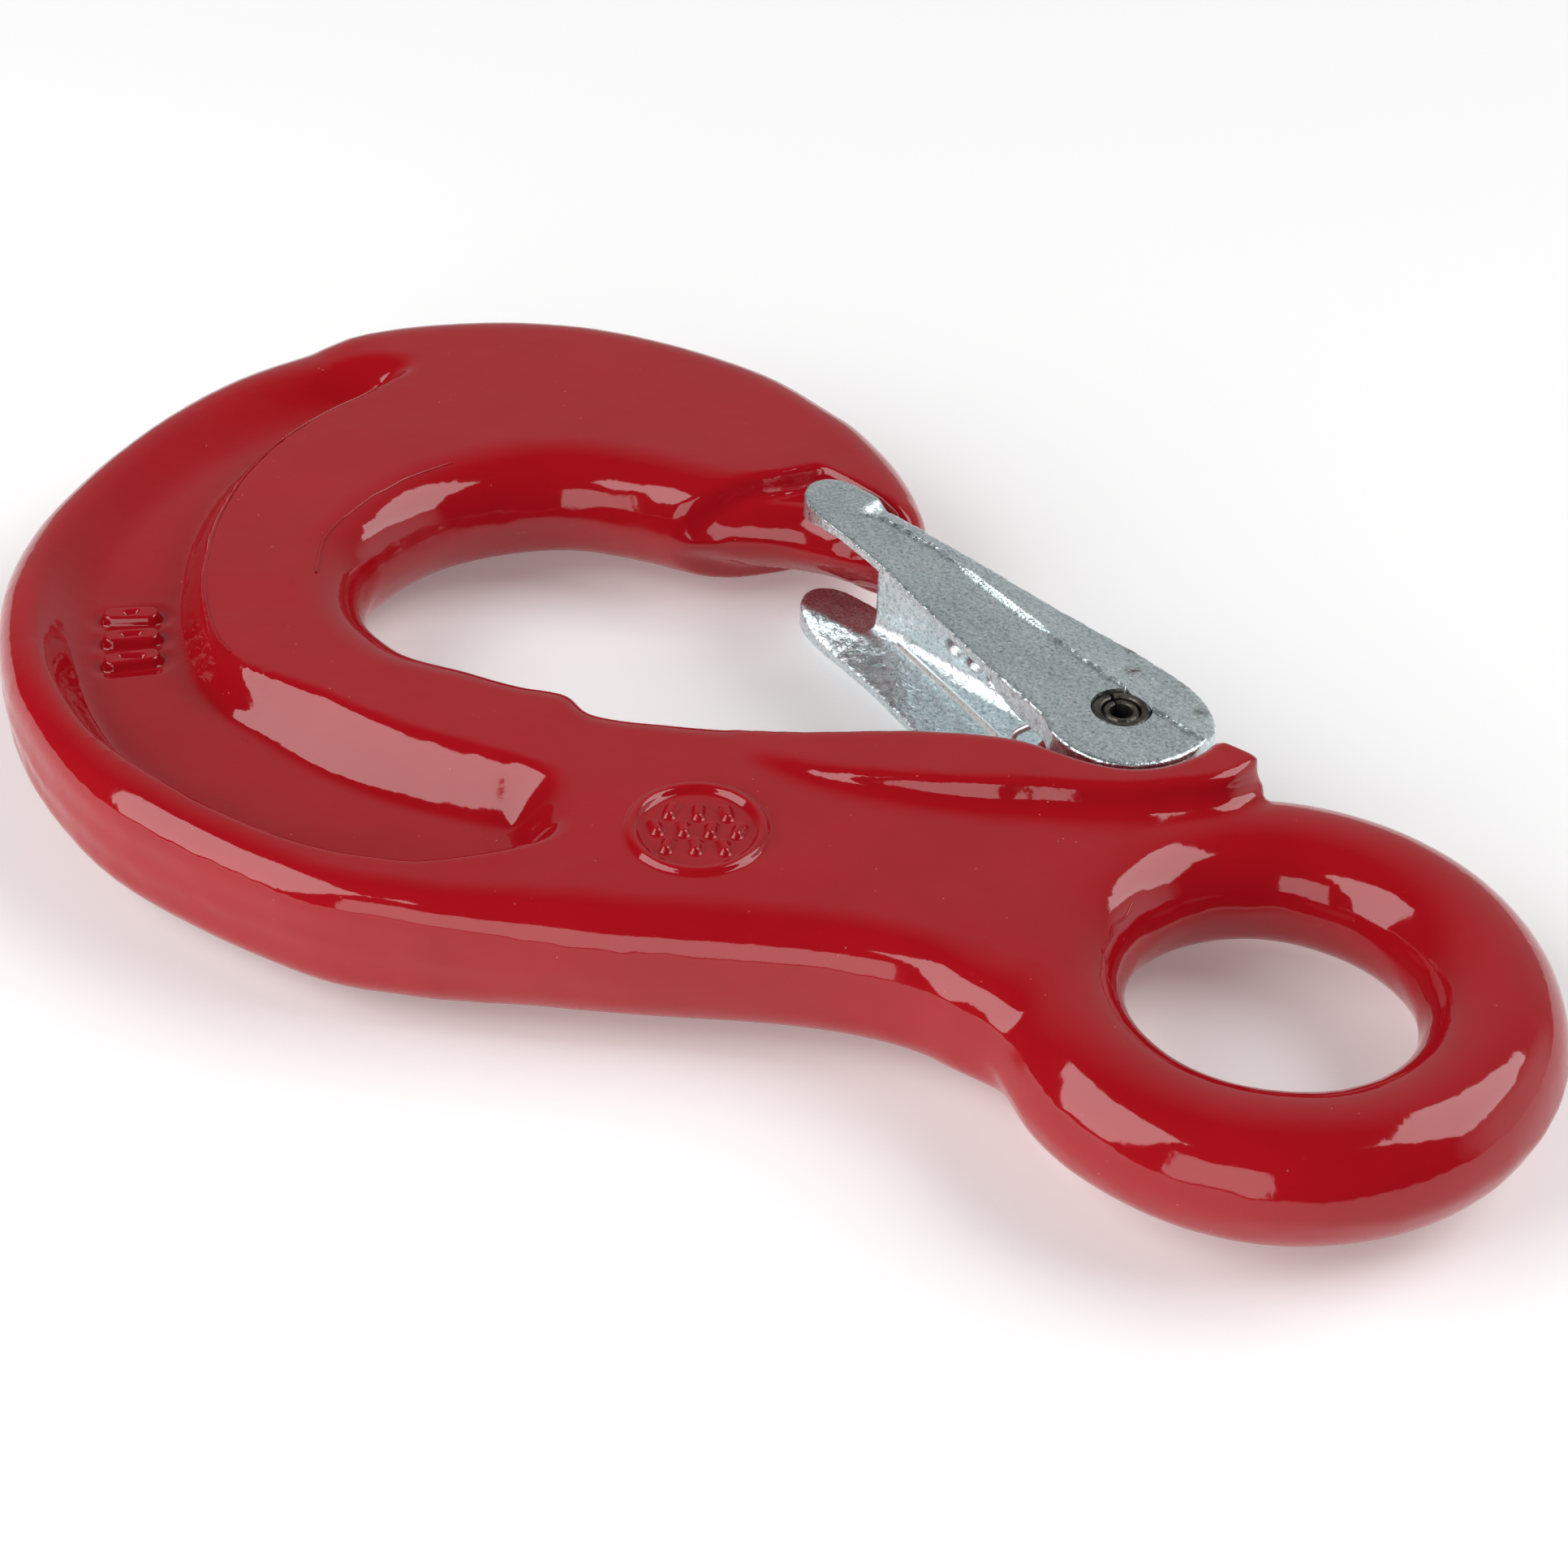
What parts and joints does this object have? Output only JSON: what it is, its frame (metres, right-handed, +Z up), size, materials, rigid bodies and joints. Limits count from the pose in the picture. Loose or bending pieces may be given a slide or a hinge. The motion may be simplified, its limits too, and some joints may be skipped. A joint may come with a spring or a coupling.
{
  "type": "eye sling hook with latch",
  "caption": "Forged lifting hook with a round eye, flat shank, open bowl and a sprung latch that closes the throat.",
  "frame": {"origin": "centre of the bounding box in plan, at the level of the surface that the hook lies on", "axes": "+X along the load line from the bowl to the eye, +Y towards the throat, +Z up through the thickness"},
  "size_m": [0.1776, 0.105, 0.02],
  "materials": {
    "red_paint": "gloss red paint dipped over a forged surface",
    "zinc_latch": "zinc plate over a shot-blasted forging",
    "pin_steel": "dark burnished spring steel",
    "spring_wire": "bright drawn wire"
  },
  "bodies": {
    "hook": {"hook_body": "red_paint", "outer_spring_pin": "pin_steel", "inner_spring_pin": "pin_steel", "latch_spring": "spring_wire"},
    "latch": {"latch": "zinc_latch"}
  },
  "joints": [
    {"name": "latch_hinge", "type": "hinge", "parent": "hook", "child": "latch", "pos_m": [0.0292, 0.02273, 0.01001], "axis": [0, 0, 1], "range_deg": [0, 44], "stiffness_Nm_per_rad": 0.12, "springref_deg": -40.11, "deforming": ["latch_spring"]}
  ]
}
